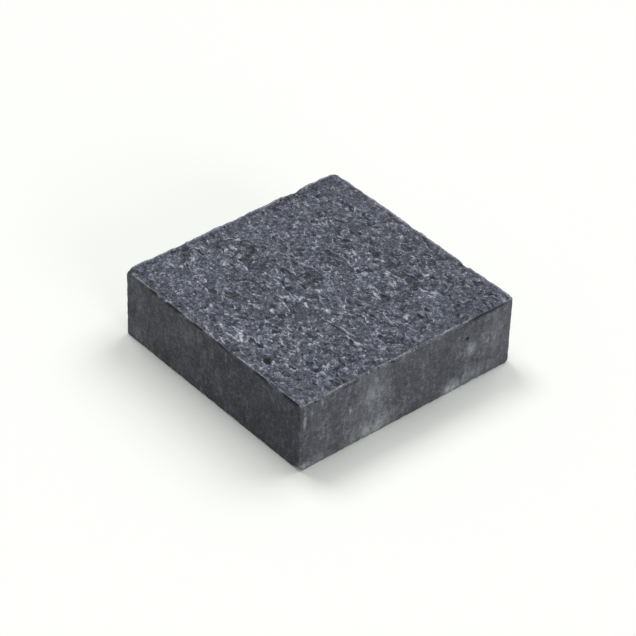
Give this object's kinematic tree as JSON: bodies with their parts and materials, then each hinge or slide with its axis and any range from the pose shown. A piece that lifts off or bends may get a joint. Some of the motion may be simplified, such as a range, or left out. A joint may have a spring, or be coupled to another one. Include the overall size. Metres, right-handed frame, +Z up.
{
  "type": "concrete paver",
  "caption": "Square concrete paving block with a riven, gently ridged top, worn and chipped top edges and plain moulded sides, laid flat in rows to make a path or terrace",
  "frame": {"origin": "Centre of the square bed face, on the plane the paver rests on", "axes": "+Z is up, from the bed to the riven top; X and Y run along the two pairs of moulded sides. Seen from the picture's side, -X is the left face and -Y the right face"},
  "size_m": [0.2, 0.2, 0.06],
  "materials": {
    "charcoal_concrete": "Pigmented charcoal grey concrete with a bluish cast: riven, fine-grained and dry on top, smoother and matt on the moulded sides, with pale lime bloom in places"
  },
  "bodies": {
    "root": {"paver": "charcoal_concrete"}
  },
  "joints": []
}
